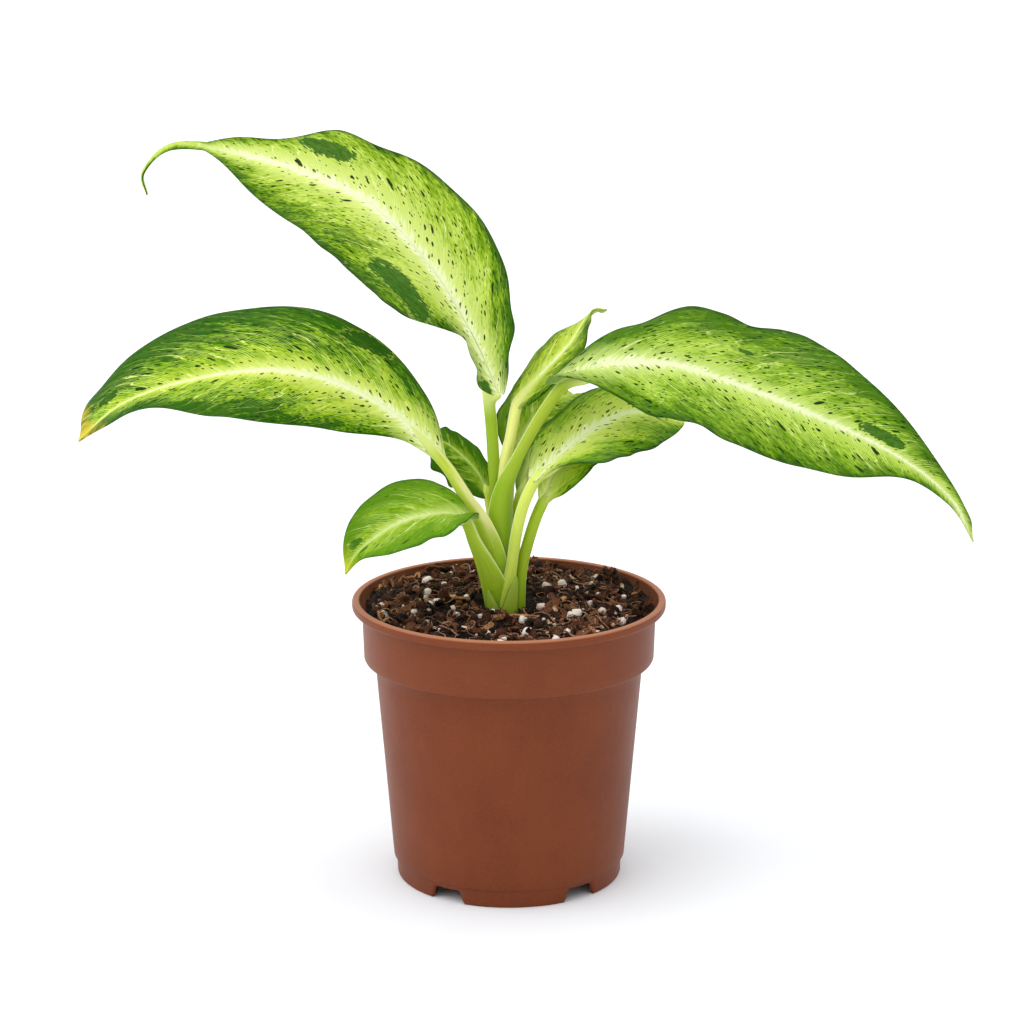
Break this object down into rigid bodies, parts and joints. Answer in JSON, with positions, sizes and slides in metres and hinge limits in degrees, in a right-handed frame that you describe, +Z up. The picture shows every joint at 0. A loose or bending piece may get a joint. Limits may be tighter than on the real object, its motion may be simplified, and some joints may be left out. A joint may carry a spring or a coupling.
{
  "type": "potted dieffenbachia",
  "caption": "Young dieffenbachia with cream-centred green leaves on sheathed stalks, growing from potting soil in a terracotta-brown plastic nursery pot.",
  "frame": {"origin": "middle of the pot's flat underside, where it rests", "axes": "+Z up the stem, -Y towards the side of the plant that is looked at, +X to its right, along its spread"},
  "size_m": [0.3291, 0.131, 0.2804],
  "materials": {
    "pot_plastic": "satin",
    "potting_soil": "matte",
    "stem_skin": "satin",
    "stalk_skin": "satin",
    "leaf_skin": "satin"
  },
  "bodies": {
    "root": {"pot": "pot_plastic", "soil": "potting_soil", "cane": "stem_skin", "scale_leaf": "stem_skin", "stalk_centre": "stalk_skin", "blade_centre": "leaf_skin", "stalk_right": "stalk_skin", "blade_right": "leaf_skin", "stalk_upper_left": "stalk_skin", "blade_upper_left": "leaf_skin", "stalk_back": "stalk_skin", "blade_back": "leaf_skin", "stalk_back_left": "stalk_skin", "blade_back_left": "leaf_skin", "stalk_back_right": "stalk_skin", "blade_back_right": "leaf_skin", "stalk_left": "stalk_skin", "blade_left": "leaf_skin", "stalk_low_right": "stalk_skin", "blade_low_right": "leaf_skin", "stalk_low_left": "stalk_skin", "blade_low_left": "leaf_skin", "stalk_mid_right": "stalk_skin", "blade_mid_right": "leaf_skin"}
  },
  "joints": []
}
